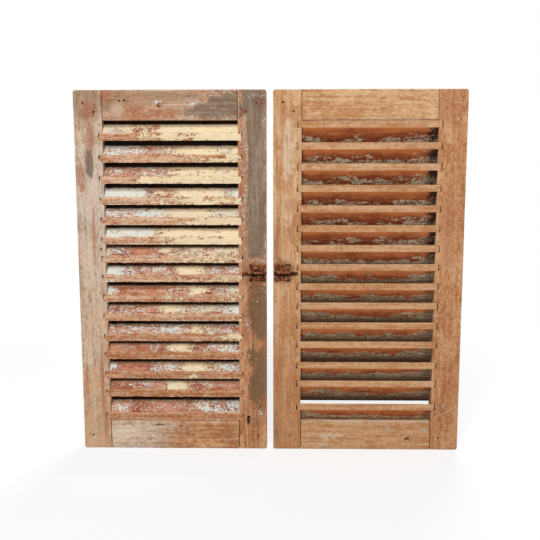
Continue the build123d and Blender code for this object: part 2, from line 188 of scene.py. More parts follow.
# Marks on the left leaf's front in millimetres, as (x, z, half width, half height)
TAUPE_STRIP = ((-31, 622, 20, 176), (-37, 798, 27, 34))
TAUPE_PATCH = ((-402, 662, 9, 34),)
TAUPE_RAIL = ((-126, 771, 64, 10), (-117, 785, 54, 7), (-100, 796, 38, 8), (-86, 806, 24, 7))
OLIVE_PATCHES = (
    (-28, 332, 19, 60), (-22, 290, 14, 30), (-21, 170, 12, 60), (-38, 222, 6, 18), (-38, 150, 5, 24),
)
WHITE_FLECKS = ((-92, 813, 34, 5), (-34, 806, 26, 8), (-14, 748, 5, 10), (-29, 349, 8, 9), (-52, 296, 8, 34))
WHITE_CHIPS = (
    (-170, 788, 8, 6), (-122, 64, 6, 2), (-229, 55, 6, 3),
    (-187, 58, 8, 2), (-248, 793, 9, 5), (-21, 87, 4, 6),
)
FLECKED_STRIP = ((-62, 640, 9, 176),)
DARK_SCRATCHES = ((-259, 56.5, 13, 1.6), (-209, 53.5, 6, 1.6))
DARK_STAINS = (
    (-34, 62, 14, 20), (-40, 22, 14, 10), (-30, 415, 34, 32), (-60, 775, 9, 10), (-24, 794, 16, 16),
)
ROTTED_SLOT = ((-49.7, 67.6, 3.4, 10.5),)
RED_PATCHES = (
    (-398, 713, 6, 36), (-402, 780, 15, 18), (-421, 622, 9, 26), (-362, 806, 14, 14),
    (-298, 777, 22, 9), (-226, 770, 40, 7), (-62, 640, 7, 180), (-52, 296, 7, 36),
)
ORANGE_STREAKS = ((-397, 500, 4, 60), (-383, 60, 5, 40), (-388, 160, 4, 90), (-370, 300, 3, 60))
LEFT_SMEARS = ((-338, 778, 14, 10), (-419, 219, 10, 34), (-346, 40, 30, 18))
BROWN_STAINS = ((-405, 796, 34, 48), (-345, 798, 40, 26), (-230, 806, 90, 8))
# The same on the right leaf's front
PINK_PATCHES = (
    (392, 785, 20, 30), (402, 545, 18, 60), (404, 470, 10, 30), (51, 566, 10, 14), (62, 768, 8, 8),
)
BROWN_PATCHES = (
    (27, 762, 8, 34), (19, 500, 8, 60), (388, 196, 10, 7),
    (420, 690, 8, 60), (372, 720, 6, 40), (20, 180, 9, 60),
)
SOOT_PATCHES = ((11, 470, 5, 60), (30, 415, 34, 30), (14, 50, 7, 40), (46, 32, 8, 7), (427, 787, 4, 14))
FLECK_PATCHES = ((276, 47, 18, 4), (359, 48, 9, 6), (124, 8, 17, 5), (390, 104, 14, 5), (412, 757, 8, 4))
FLECK_LINE = ((371, 590, 3.5, 170),)
PALE_SMEARS = ((130, 32, 40, 9), (46, 530, 9, 22), (375, 316, 9, 14), (40, 690, 16, 90))
# White chips on the edges of the right leaf's slats
SLAT_CHIPS = ((354, 739, 9, 6), (356, 654, 11, 7), (358, 607, 9, 6), (248, 464, 12, 5), (200, 656, 30, 6))
# Corners of the right leaf whose pins are filled over
FILLED_PINS = ((403, 785, 34, 40), (39, 30, 34, 40))
# Strokes of the forked scratch on the right leaf's hinge stile, as places (x, z) from end to end
SCRATCHES = (((430, 105), (396, 84)), ((388, 96), (396, 84)), ((396, 84), (408, 48)))
SCRATCH_HALF_WIDTH = 1.6
# Old nail holes in the left leaf's front, as (x, z, radius)
NAIL_HOLES = ((-332, 796.9, 2.3), (-320.9, 796.9, 2.3), (-382.2, 468.2, 2.4))
# Heads of old nails that stand proud on the left leaf's front, as (x, z, radius)
NAIL_HEADS = ((-244.5, 787, 5.2), (-60, 775.4, 4.2))


def linear(red, green, blue):
    """A colour as a shader takes it, from its red, green and blue out of 255."""
    shares = (red / 255, green / 255, blue / 255)
    return tuple(s / 12.92 if s <= 0.04045 else ((s + 0.055) / 1.055) ** 2.4 for s in shares)


def tint(name, colour, use):
    """A colour that a user can change."""
    return FloatVectorProperty(
        name=name, description=use, default=linear(*colour), subtype="COLOR", size=3, min=0, max=1
    )


def length(name, default, use):
    """A length that a user can change."""
    return FloatProperty(name=name, description=use, default=default, unit="LENGTH", precision=5)


def spot(name, default, use):
    """A place that a user can change."""
    return FloatVectorProperty(name=name, description=use, default=default, subtype="XYZ")


def power(name, default, use):
    """A lamp's power that a user can change."""
    return FloatProperty(name=name, description=use, default=default, unit="POWER")


def strength(name, default, use):
    """A strength from 0 to 1 that a user can change."""
    return FloatProperty(name=name, description=use, default=default, subtype="FACTOR", min=0, max=1)


class ShutterTints(bpy.types.PropertyGroup):
    """Colours of the wood, the paint and the iron."""

    # Also the painted highlight on the top of the right leaf's bottom rail
    pale: tint("Pale wood", (222, 205, 183), "Bleached wood on the weather side")
    weather: tint("Weathered wood", (166, 133, 106), "Darker grain on the weather side")
    streak: tint("Streaks", (160, 98, 58), "Orange-brown streaks in the weathered wood")
    tan: tint("Tan wood", (214, 168, 126), "Lighter wood between the orange streaks")
    honey: tint("Honey wood", (216, 178, 136), "Light grain on the room side")
    amber: tint("Amber wood", (178, 124, 82), "Darker grain on the room side")
    pink: tint("Pink wood", (160, 98, 72), "Rubbed pink patches")
    brick: tint("Brick wood", (142, 74, 50), "Red wood under the flaking paint")
    rose: tint("Rose wood", (188, 130, 100), "Lighter bare wood under the flaking paint")
    # Also the painted glints on the rusty iron
    cream: tint("Cream paint", (230, 209, 172), "Top coat on the slats")
    # On the slats' sloped faces the straw is in part painted shade
    straw: tint("Straw paint", (212, 190, 152), "Dirtier top coat on the slats")
    white: tint("White paint", (204, 207, 200), "Undercoat on the slats, and flecks elsewhere")
    taupe: tint("Taupe paint", (116, 101, 87), "Old paint on the left leaf's frame")
    # Also the painted shade strip deep between the left leaf's slats
    olive: tint("Olive paint", (104, 78, 50), "Darker paint low on the left meeting stile")
    umber: tint("Underside wood", (136, 64, 36), "Red-brown wood under the slats")
    ginger: tint("Underside streaks", (212, 126, 74), "Lighter wood under the slats")
    lichen: tint("Underside paint", (230, 212, 180), "Grey paint left under the slats")
    mud: tint("Underside dirt", (118, 88, 62), "Brown paint and dirt under the slats")
    # Dark for dirt, holes and cracks, and also the painted shade deep between and under the slats and the
    # painted shadow under the bolts' rods
    soot_and_shade: tint("Dirt", (24, 16, 12), "Dirt in corners, holes and cracks")
    rust: tint("Rust", (104, 50, 28), "Rusty iron of the slide bolts")
    scale: tint("Rust scale", (178, 108, 66), "Bright scale on the rust")


class ShutterWear(bpy.types.PropertyGroup):
    """Sizes of the wear on the wood and the iron."""

    slat_edge: length("Slat edge", 15.5 * MM, "Height of a slat's plumb-cut edge")
    nose_round: length("Nose rounding", 3.4 * MM, "Rounding along a slat's upper edge at the weather face")
    slat_round: length("Slat rounding", 0.4 * MM, "Rounding along a slat's other edges")
    frame_round: length("Frame rounding", 0.6 * MM, "Rounding along the edges of stiles and rails")
    chip_depth: length("Chips", 1.1 * MM, "Depth of the chips along a weathered edge")
    chip_spread: length("Chip spread", 13 * MM, "Length of a chip")
    wave_depth: length("Waviness", 0.8 * MM, "Depth of the dips in a hand-planed face")
    wave_spread: length("Wave spread", 60 * MM, "Length of a dip in a hand-planed face")
    cell: length("Cell", 6 * MM, "Spacing of the cuts that let a stile or rail follow its wear")
    rust_voxel: length("Rust voxel", 0.45 * MM, "Finest size of the rusted iron")
    rust_depth: length("Rust depth", 0.7 * MM, "Depth of the pits in the iron")
    rust_spread: length("Rust spread", 2.2 * MM, "Width of a pit in the iron")
    nail_depth: length("Nail depth", 0.9 * MM, "Depth of the dents in a nail's head")
    nail_spread: length("Nail spread", 3 * MM, "Width of a dent in a nail's head")


class ShutterStage(bpy.types.PropertyGroup):
    """Camera, light and floor."""

    camera_place: spot("Camera", (0.0293, -1.5661, 0.619), "Where the camera stands")
    camera_turn: FloatVectorProperty(
        name="Camera turn",
        description="How the camera is turned",
        default=(math.pi / 2 - 0.1267, 0.0009, 0.0186),
        subtype="EULER",
    )
    lens: FloatProperty(name="Lens", description="Focal length", default=46.13, unit="CAMERA")
    key_place: spot("Key place", (-0.6, -4.4, 3.5), "Where the light above the front hangs")
    key: power("Key light", 285, "Power of the light above the front")
    fill_place: spot("Fill place", (1.2, 4.2, 2.6), "Where the weaker light behind hangs")
    fill: power("Fill light", 150, "Power of the light behind")
    lamp_width: length("Lamp width", 2.6, "Width of each lamp")
    lamp_height: length("Lamp height", 1.0, "Height of each lamp")
    ambient: strength("Ambient", 0.3, "Strength of the light from all round")
    floor_reach: length("Floor", 12.0, "Half the width of the floor")
    floor_pale: strength("Floor paleness", 0.35, "How pale the floor is where it shows")
    floor_glow: strength("Floor glow", 0.63, "How much the floor is lifted to white")
    floor_bounce: FloatVectorProperty(
        name="Floor bounce",
        description="Colour of the floor in the light that it throws back",
        default=(0.2, 0.19, 0.18),
        subtype="COLOR",
    )


class Value:
    """A number in a finish. Sums on it add Math nodes."""

    def __init__(self, finish, socket):
        self.finish = finish
        self.socket = socket

    def __add__(self, other):
        return self.finish.math("ADD", self, other)

    def __radd__(self, other):
        return self.finish.math("ADD", other, self)

    def __sub__(self, other):
        return self.finish.math("SUBTRACT", self, other)

    def __rsub__(self, other):
        return self.finish.math("SUBTRACT", other, self)

    def __mul__(self, other):
        return self.finish.math("MULTIPLY", self, other)

    def __rmul__(self, other):
        return self.finish.math("MULTIPLY", other, self)

    def __truediv__(self, other):
        return self.finish.math("DIVIDE", self, other)

    def __abs__(self):
        return self.finish.math("ABSOLUTE", self)

    def most(self, other):
        """The larger of two numbers."""
        return self.finish.math("MAXIMUM", self, other)

    def least(self, other):
        """The smaller of two numbers."""
        return self.finish.math("MINIMUM", self, other)

    def root(self):
        """The square root."""
        return self.finish.math("SQRT", self)

    def rise(self, low, high):
        """0 below low, 1 above high, and smooth between."""
        values = {"Value": self, "From Min": low, "From Max": high}
        return self.finish.output("ShaderNodeMapRange", {"interpolation_type": "SMOOTHSTEP"}, values, 0)


class Finish:
    """The nodes of one material or of the world."""

    def __init__(self, tree):
        self.tree = tree
        tree.nodes.clear()

    def node(self, kind, settings, values):
        """Adds a node, makes its settings, then gives its sockets their values or links."""
        made = self.tree.nodes.new(kind)
        for key, setting in settings.items():
            setattr(made, key, setting)
        for key, value in values.items():
            if isinstance(value, Value):
                self.tree.links.new(value.socket, made.inputs[key])
            else:
                made.inputs[key].default_value = value
        return made

    def output(self, kind, settings, values, name):
        """One output of a new node."""
        return Value(self, self.node(kind, settings, values).outputs[name])

    def math(self, operation, *numbers):
        """A sum on numbers."""
        return self.output("ShaderNodeMath", {"operation": operation}, dict(enumerate(numbers)), 0)

    def place(self):
        """The place on the object, in millimetres."""
        metres = self.output("ShaderNodeTexCoord", {}, {}, "Object")
        return self.output("ShaderNodeVectorMath", {"operation": "SCALE"}, {0: metres, "Scale": 1 / MM}, 0)

    def parts(self, vector):
        """The three numbers of a vector."""
        made = self.node("ShaderNodeSeparateXYZ", {}, {0: vector})
        return tuple(Value(self, socket) for socket in made.outputs)

    def facing(self):
        """The direction that the surface faces."""
        return self.parts(self.output("ShaderNodeNewGeometry", {}, {}, "Normal"))

    def noise(self, place, spread, detail=4.0, rough=0.55, shift=0.0):
        """A cloudy pattern with its own spread along each axis, stretched to about 0 to 1."""
        squeezed = self.output(
            "ShaderNodeVectorMath",
            {"operation": "MULTIPLY_ADD"},
            {0: place, 1: tuple(1 / s for s in spread), 2: (shift, shift, shift)},
            0,
        )
        values = {"Vector": squeezed, "Scale": 1.0, "Detail": detail, "Roughness": rough}
        return (self.output("ShaderNodeTexNoise", {}, values, 0) - CLOUD_LOW) / CLOUD_SPAN

    def mix(self, mask, below, above):
        """One colour over another where the mask is 1."""
        colours = {6: below, 7: above}
        whole = {key: c if isinstance(c, Value) else (*c, 1) for key, c in colours.items()}
        return self.output("ShaderNodeMix", {"data_type": "RGBA"}, {0: mask, **whole}, 2)

    def coats(self, colour, *layers):
        """A colour under coats that are laid in order, each with its mask and its own colour."""
        for mask, above in layers:
            colour = self.mix(mask, colour, above)
        return colour

    def surface(self, colour, rough, height, depth):
        """Ends the finish with a plain surface and its fine relief."""
        relief = {"Strength": 1.0, "Distance": depth * MM, "Height": height}
        normal = self.output("ShaderNodeBump", {}, relief, 0)
        values = {"Base Color": colour, "Roughness": rough, "Normal": normal, "Specular IOR Level": GLOSS}
        shader = self.output("ShaderNodeBsdfPrincipled", {}, values, 0)
        self.node("ShaderNodeOutputMaterial", {}, {0: shader})


class Wood(namedtuple("Wood", "place x y z broad fine mottle flake speck tone")):
    """The place on a piece of wood, and the patterns of its surface, each about 0 to 1."""

    def blend(self, **shares):
        """A sum of patterns, each by its share."""
        first, *others = [getattr(self, name) * share for name, share in shares.items()]
        return sum(others, first)

    def stray(self, **reaches):
        """A sum of patterns about 0, each by its reach."""
        first, *others = [(getattr(self, name) - 0.5) * reach for name, reach in reaches.items()]
        return sum(others, first)


def new_finish(name):
    """A new material and its nodes."""
    material = bpy.data.materials.new(name)
    material.use_nodes = True
    return material, Finish(material.node_tree)


def deepest(depths):
    """The largest of several numbers."""
    depth, *others = depths
    for other in others:
        depth = depth.most(other)
    return depth


def in_ovals(x, z, places):
    """How deep a place lies in the nearest of some ovals: 0 on its border, below 0 outside."""

    def depth(middle_x, middle_z, half_x, half_z):
        across = (x - middle_x) / half_x
        up = (z - middle_z) / half_z
        return (1 - (across * across + up * up).root()) * min(half_x, half_z)

    return deepest([depth(*place) for place in places])


def in_boxes(x, z, places):
    """How deep a place lies in the nearest of some boxes: 0 on its border, below 0 outside."""

    def depth(middle_x, middle_z, half_x, half_z):
        return (half_x - abs(x - middle_x)).least(half_z - abs(z - middle_z))

    return deepest([depth(*place) for place in places])


def on_strokes(x, z, strokes, half_width):
    """Thin straight scratches: 1 inside, 0 outside."""

    def stroke(start, end):
        start, end = Vector(start), Vector(end)
        along = (end - start).normalized()
        from_x, from_z = x - start.x, z - start.y
        travel = (from_x * along.x + from_z * along.y).most(0).least((end - start).length)
        off_x, off_z = from_x - travel * along.x, from_z - travel * along.y
        return 1 - (off_x * off_x + off_z * off_z).root().rise(half_width / 2, half_width)

    return deepest([stroke(*ends) for ends in strokes])


def drawn_out(axis, across, along):
    """The spread of a pattern whose grain runs along an axis."""
    return tuple(along if name == axis else across for name in "XYZ")


def wood_patterns(finish, axis, knots):
    """The patterns of old wood whose grain runs along an axis. Knots sets how broad its mottling is."""
    place = finish.place()
    broad = finish.noise(place, drawn_out(axis, 5.5, 130), 5, 0.62)
    fine = finish.noise(place, drawn_out(axis, 1.6, 36), 4, 0.62, 3.7)
    mottle = finish.noise(place, drawn_out(axis, knots, knots * 1.5), 6, 0.62, 8.1)
    flake = finish.noise(place, drawn_out(axis, 7, 10), 7, 0.68, 1.3)
    speck = finish.noise(place, drawn_out(axis, 2.6, 3.6), 5, 0.66, 5.9)
    tone = (broad * 0.28 + fine * 0.16 + mottle * 0.28 + flake * 0.3).rise(0.32, 0.7)
    return Wood(place, *finish.parts(place), broad, fine, mottle, flake, speck, tone)


def weather_half(wood, leaf):
    """1 on a leaf's weather half and 0 on its room half."""
    return (wood.y * WEATHER_SIDE[leaf]).rise(-2, 2)


def upper_half(wood):
    """1 at a leaf's head and 0 at its foot."""
    return wood.z.rise(300, 500)


def grit(wood):
    """Small dark grains in old wood."""
    return 1 - wood.blend(speck=0.7, flake=0.3).rise(0.24, 0.42)


def weathered_wood(finish, wood, leaf, axis, tints):
    """Bare weathered wood: bleached at the hinge stile, orange at the meeting stile and the foot."""
    if leaf == "left" and axis == "Z":
        warm = wood.x.rise(-290, -190) * 0.8 + (1 - wood.z.rise(40, 480)) * 0.6
    elif leaf == "left":
        high = upper_half(wood)
        warm = wood.x.rise(-300, -170) * (1 - high) * 0.95 + high * 0.42 + 0.08
    else:
        warm = wood.mottle
    warm = (warm + wood.stray(mottle=0.8)).rise(0.05, 0.95)
    bleached = finish.mix(wood.tone, tints.weather, tints.pale)
    orange = finish.mix(wood.tone, tints.streak, tints.tan)
    rubbed = wood.blend(mottle=0.5, broad=0.25, flake=0.45).rise(0.52, 0.8)
    share = 0.22 if axis == "Z" else upper_half(wood) * 0.6 + 0.1
    return finish.coats(bleached, (warm, orange), (rubbed * share, tints.pink))


def indoor_wood(finish, wood, axis, tints):
    """Bare wood of the room side: honey, darker towards the foot."""
    low = 1 - wood.z.rise(40, 560)
    return finish.coats(
        finish.mix(wood.tone, tints.amber, tints.honey),
        (low * 0.5 if axis == "Z" else low * 0.22, tints.streak),
        (wood.blend(mottle=0.6, flake=0.4).rise(0.55, 0.9) * 0.4, tints.amber),
    )


def left_marks(finish, wood, axis, colour, tints):
    """Old paint, stains, nail holes and a rotted slot on the left leaf's front."""
    x, z, speck = wood.x, wood.z, wood.speck
    ragged = wood.stray(flake=20, speck=12, mottle=14)
    reach = in_boxes(x, z, TAUPE_STRIP if axis == "Z" else TAUPE_RAIL) + ragged
    patch = in_ovals(x, z, TAUPE_PATCH) + ragged * 0.35
    taupe = reach.most(patch).rise(0, 1.2)
    worn_taupe = finish.coats(
        tints.taupe,
        (wood.blend(broad=0.6, flake=0.5).rise(0.4, 0.9) * 0.2, tints.lichen),
        (wood.blend(mottle=0.8, speck=0.3).rise(0.5, 0.9) * 0.4, tints.mud),
    )
    olive = (in_ovals(x, z, OLIVE_PATCHES) + 4 + ragged * 1.1).rise(0, 1.5)
    worn_olive = finish.mix(wood.flake, tints.olive, tints.mud)
    worn_olive = finish.mix(x.rise(-30, -10) * 0.5, worn_olive, tints.taupe)
    edging = reach.rise(-7, -1) - reach.rise(1, 2)
    fringe = edging * wood.blend(speck=0.7, flake=0.3).rise(0.52, 0.58)
    flecks = (in_ovals(x, z, WHITE_FLECKS) + (speck - 0.78) * 28).rise(0, 1.5)
    flecks = flecks.most((in_boxes(x, z, FLECKED_STRIP) + (speck - 0.86) * 40).rise(0, 1.5))
    flecks = flecks.most((in_ovals(x, z, WHITE_CHIPS) + (speck - 0.6) * 14).rise(0, 1))
    white = fringe.most(flecks)
    scratches = (in_ovals(x, z, DARK_SCRATCHES) + wood.stray(speck=2.4)).rise(-0.2, 0.8)
    holes = in_ovals(x, z, [(*hole, hole[2]) for hole in NAIL_HOLES]).rise(-0.3, 0.5)
    slot = (in_boxes(x, z, ROTTED_SLOT) + wood.stray(speck=2)).rise(-0.5, 1)
    dark = scratches.most(holes).most(slot)
    stains = (in_ovals(x, z, DARK_STAINS) + wood.stray(mottle=22, flake=14)).rise(-6, 12)
    reds = (in_ovals(x, z, RED_PATCHES) + wood.stray(flake=14, broad=8)).rise(-3, 3)
    oranges = (in_ovals(x, z, ORANGE_STREAKS) + wood.stray(broad=6)).rise(-2, 3)
    smears = (in_ovals(x, z, LEFT_SMEARS) + wood.stray(flake=14, mottle=14)).rise(-4, 6)
    browns = (in_ovals(x, z, BROWN_STAINS) + ragged).rise(-8, 10)
    hinge_side = 1 - x.rise(-FIELD_OUTER - 0.5, -FIELD_OUTER + 5.5)
    haze = z.rise(440, 540) * (1 - z.rise(640, 740)) * wood.mottle.rise(0.1, 0.6)
    colour = finish.coats(
        colour,
        (browns * 0.7, tints.weather),
        (browns * wood.blend(broad=0.5, flake=0.5).rise(0.3, 0.7) * 0.7, tints.mud),
        (smears * 0.4, tints.pale),
        ((1 - z.rise(10, 230)) * hinge_side * 0.4, tints.honey),
        (haze * hinge_side * 0.2, tints.white),
        (reds * (0.4 + wood.flake.rise(0.3, 0.7) * 0.4), tints.pink),
        (oranges * 0.7, tints.streak),
        (taupe * 0.95, worn_taupe),
        (olive * 0.92, worn_olive),
        (stains * 0.55, finish.mix(speck.rise(0.3, 0.7), tints.soot_and_shade, tints.brick)),
        (white * 0.92, tints.white),
        (dark * 0.92, tints.soot_and_shade),
    )
    return colour, taupe.most(olive) + white * 0.8 - dark * 1.5


def right_marks(finish, wood, colour, tints):
    """Rubbed patches, dirt, flecks and scratches on the right leaf's front."""
    x, z, speck = wood.x, wood.z, wood.speck
    ragged = wood.stray(mottle=26, flake=18)
    stile = x.rise(FIELD_OUTER - 1, FIELD_OUTER + 3)
    blotch = wood.blend(mottle=0.3, flake=0.35, broad=0.2, speck=0.2).rise(0.3, 0.8)
    blotch = blotch * (0.75 + z.rise(40, 560) * 0.25)
    pink = (in_ovals(x, z, PINK_PATCHES) + ragged).rise(-8, 10)
    brown = (in_ovals(x, z, BROWN_PATCHES) + ragged * 0.5).rise(-5, 7)
    darkening = (in_ovals(x, z, SOOT_PATCHES) + ragged * 0.7).rise(-2, 14)
    smears = (in_ovals(x, z, PALE_SMEARS) + ragged * 0.5).rise(-4, 8)
    flecks = (in_ovals(x, z, FLECK_PATCHES) + (speck - 0.66) * 24).rise(0, 1.5)
    flecks = flecks.most((in_boxes(x, z, FLECK_LINE) + (speck - 0.8) * 22).rise(0, 1.5))
    white_dots = wood.blend(speck=0.8, flake=0.3).rise(0.9, 0.93) * stile
    scratch = on_strokes(x, z, SCRATCHES, SCRATCH_HALF_WIDTH) * speck.rise(0.1, 0.5)
    red_dots = 1 - wood.blend(speck=0.75, flake=0.25).rise(0.12, 0.2)
    red_dots = red_dots * x.rise(FIELD_OUTER - 6, FIELD_OUTER + 20)
    colour = finish.coats(
        colour,
        (stile * 0.85, finish.mix(blotch, tints.streak, tints.tan)),
        (smears * 0.4, tints.pale),
        (brown * 0.45, tints.streak),
        (pink * 0.45, tints.pink),
        (darkening * 0.6, finish.mix(speck, tints.soot_and_shade, tints.rust)),
        (red_dots * 0.6, tints.brick),
        ((flecks.most(white_dots) * 0.85).most(scratch * 0.25), tints.white),
    )
    return colour, flecks * 0.8 - scratch * 0.5


def shoulder_dirt(wood):
    """Dirt in the joints where a rail's shoulders meet the stiles."""
    shoulder = abs((abs(wood.x) - FIELD_INNER).least(FIELD_OUTER - abs(wood.x)))
    amount = wood.mottle * 0.6 + upper_half(wood) * 0.1 + 0.3
    return (1 - shoulder.rise(0.8, 2.2)) * amount.least(1)


def frame_finish(leaf, axis, tints):
    """Wood of a leaf's stiles, with the grain along Z, or of its rails, with the grain along X."""
    material, finish = new_finish(f"{leaf}_{'stile' if axis == 'Z' else 'rail'}_wood")
    wood = wood_patterns(finish, axis, 46)
    weather = weather_half(wood, leaf)
    outside = weathered_wood(finish, wood, leaf, axis, tints)
    inside = indoor_wood(finish, wood, axis, tints)
    if leaf == "left":
        outside, marks = left_marks(finish, wood, axis, outside, tints)
        marks = marks * weather
    else:
        inside, marks = right_marks(finish, wood, inside, tints)
        old_paint = wood.blend(mottle=0.8, flake=0.5).rise(0.75, 0.8)
        outside = finish.mix(old_paint, outside, tints.taupe)
        # Painted highlight: the upward face of the bottom rail on the room side is lifted towards pale
        sill_highlight = finish.facing()[2].rise(0.5, 0.8) * (1 - wood.z.rise(FIELD_FOOT + 1, FIELD_FOOT + 4))
        inside = finish.mix(sill_highlight * wood.mottle.rise(0.1, 0.6) * 0.7, inside, tints.pale)
        marks = marks * (1 - weather) + old_paint * weather
    vein = abs(finish.noise(wood.place, drawn_out(axis, 9, 240), 2, 0.5, 6.3) - 0.5)
    crack = (1 - vein.rise(0.006, 0.02)) * wood.fine.rise(0.5, 0.8)
    joints = [(shoulder_dirt(wood) * 0.85, tints.soot_and_shade)] if axis == "X" else []
    pores = (1 - wood.fine.rise(0.15, 0.4)) * (1 - wood.broad.rise(0.35, 0.65))
    dust = wood.blend(speck=0.7, fine=0.3).rise(0.6, 0.8)
    colour = finish.coats(
        finish.mix(weather, inside, outside),
        (crack * 0.5, tints.soot_and_shade),
        *joints,
        ((pores * 0.4).most(grit(wood) * 0.35), tints.streak),
        (dust * 0.25, finish.mix(weather, tints.honey, tints.pale)),
    )
    relief = wood.blend(broad=0.5, fine=0.6) + marks - crack * 2
    finish.surface(colour, 0.84 - wood.broad * 0.1, relief, 0.3)
    return material


def slat_paint(finish, wood, upper, edge, weather, tints):
    """Bare wood of a slat's weather side under white and cream paint that has flaked."""
    covers = finish.output("ShaderNodeAttribute", {"attribute_name": "paint"}, {}, "Color")
    face_cream, face_white, edge_cream = finish.parts(covers)
    rubbed = finish.output("ShaderNodeAttribute", {"attribute_name": "rubbed"}, {}, "Fac")
    drift = finish.noise(wood.place, (30, 10, 10), 4, 0.55, 2.2)
    bare = finish.mix(wood.blend(tone=0.6, mottle=0.5).rise(0.2, 0.95), tints.brick, tints.rose)
    high = wood.z.rise(180, 480) - wood.z.rise(540, 720) * 0.5
    edge_tone = (wood.blend(flake=0.4, broad=0.25, speck=0.4) + high * 0.1).rise(0.44, 0.76)
    bleached = (wood.speck * 0.35 + drift * 0.35 + wood.broad * 0.3).rise(0.36, 0.7)
    coarse_grit = 1 - wood.blend(speck=0.6, flake=0.4).rise(0.28, 0.46)
    edge_wood = finish.coats(
        finish.mix(edge_tone, finish.mix(high, tints.streak, tints.pink), tints.tan),
        (bleached * (0.22 + high * 0.43), tints.pale),
        (wood.blend(speck=0.7, flake=0.4).rise(0.68, 0.8) * 0.65, tints.brick),
        (coarse_grit * 0.5, finish.mix(high, tints.streak, tints.brick)),
    )
    pattern = wood.blend(flake=0.42, speck=0.32) + drift * 0.26
    cover = (upper * face_cream).most(edge * weather * edge_cream)
    cream_reach = pattern + cover * 0.44 - rubbed * 0.09 - 0.72
    cream = cream_reach.rise(0, 0.03)
    rim = (cream_reach.rise(-0.1, -0.02) - cream) * wood.speck.rise(0.45, 0.6) * upper
    white_pattern = wood.speck * 0.5 + (1 - wood.flake) * 0.32 + drift * 0.18
    white = (white_pattern + upper * face_white * 0.46 - rubbed * 0.09 - 0.74).rise(0, 0.035)
    white = white.most(rim.most(0) * 0.85)
    dirty = wood.blend(mottle=0.5, flake=0.5).rise(0.35, 0.7)
    chalky = wood.blend(mottle=0.6, flake=0.5).rise(0.56, 0.78)
    yellowed = wood.blend(flake=0.6, mottle=0.5).rise(0.4, 0.8)
    # The sloped faces take more straw than the plumb edges: dirt that settles there, and painted shade that
    # keeps them darker than the edges
    top_coat = finish.coats(
        tints.cream,
        (upper * 0.2 + dirty * 0.6, tints.straw),
        (chalky * upper * 0.55, tints.white),
    )
    undercoat = finish.mix(yellowed * 0.45, tints.white, tints.lichen)
    colour = finish.coats(bare, (edge, edge_wood), (white, undercoat), (cream, top_coat))
    return colour, cream * 1.2 + white * 0.7


def slat_underside(finish, wood, depth, tints):
    """Red-brown wood near the room edge under a slat, then old paint, with painted shade further in and at
    the ends. Depth is from that edge.
    """
    side = abs(wood.x)
    low = 1 - wood.z.rise(390, 470)
    far_end = side.rise(FIELD_OUTER - 80, FIELD_OUTER)
    near_end = 1 - side.rise(FIELD_INNER, FIELD_INNER + 50)
    inner = depth.rise(10, 20)
    drift = finish.noise(wood.place, (46, 16, 16), 3, 0.5, 4.6)
    ragged = (drift - 0.5) * 16 + (wood.flake - 0.5) * (13 - low * 9) + wood.stray(speck=5)
    # Painted shade: the wood turns from ginger to umber deeper under the slat
    shade = (depth + wood.stray(mottle=14)).rise(-3, 16)
    streaks = wood.blend(broad=0.4, fine=0.3, flake=0.3).rise(0.3, 0.7)
    cluster = (drift * 0.55 + wood.mottle * 0.4 + low + far_end * 0.2 + inner * 0.05).rise(0.42, 0.56)
    flecks = (wood.blend(speck=0.64, flake=0.36) + inner * 0.07).rise(0.47, 0.56).most(low)
    reach = depth - 13.5 + low * 4.5 + far_end * 6 + near_end * 3 + ragged
    paint = reach.rise(0, 3) * cluster * flecks * 0.9
    streaky = wood.blend(fine=0.45, speck=0.35, flake=0.3).rise(0.3, 0.8)
    # Painted shade: on the low slats the old paint turns to mud-brown deeper in
    deep = (depth + wood.stray(fine=8)).rise(10, 23) * low
    old_paint = finish.mix((streaky + 0.22 - low * 0.42 - deep * 0.4).most(0), tints.mud, tints.lichen)
    # Grime and painted shade deep in the recess under a slat
    grime_and_shade = (1 - wood.blend(flake=0.6, speck=0.4).rise(0.25, 0.5)) * inner
    # Painted shade at the slat's ends by the stiles and deep in the recess
    corner = side.rise(FIELD_OUTER - 38, FIELD_OUTER - 2) + wood.stray(flake=0.9, mottle=0.7)
    darkening = corner.rise(0.25, 0.8) * (0.95 - low * 0.4) * (1 - paint * 0.35)
    darkening = darkening.most((depth + wood.stray(flake=8)).rise(15, 25) * (0.3 + low * 0.4))
    darkening = darkening.most((1 - side.rise(FIELD_INNER, FIELD_INNER + 6)) * 0.7)
    colour = finish.coats(
        finish.mix((shade - streaks * 0.4 + 0.18).most(0), tints.ginger, tints.umber),
        (grime_and_shade * 0.7, tints.soot_and_shade),
        (paint, old_paint),
        (darkening, tints.soot_and_shade),
    )
    return colour, paint


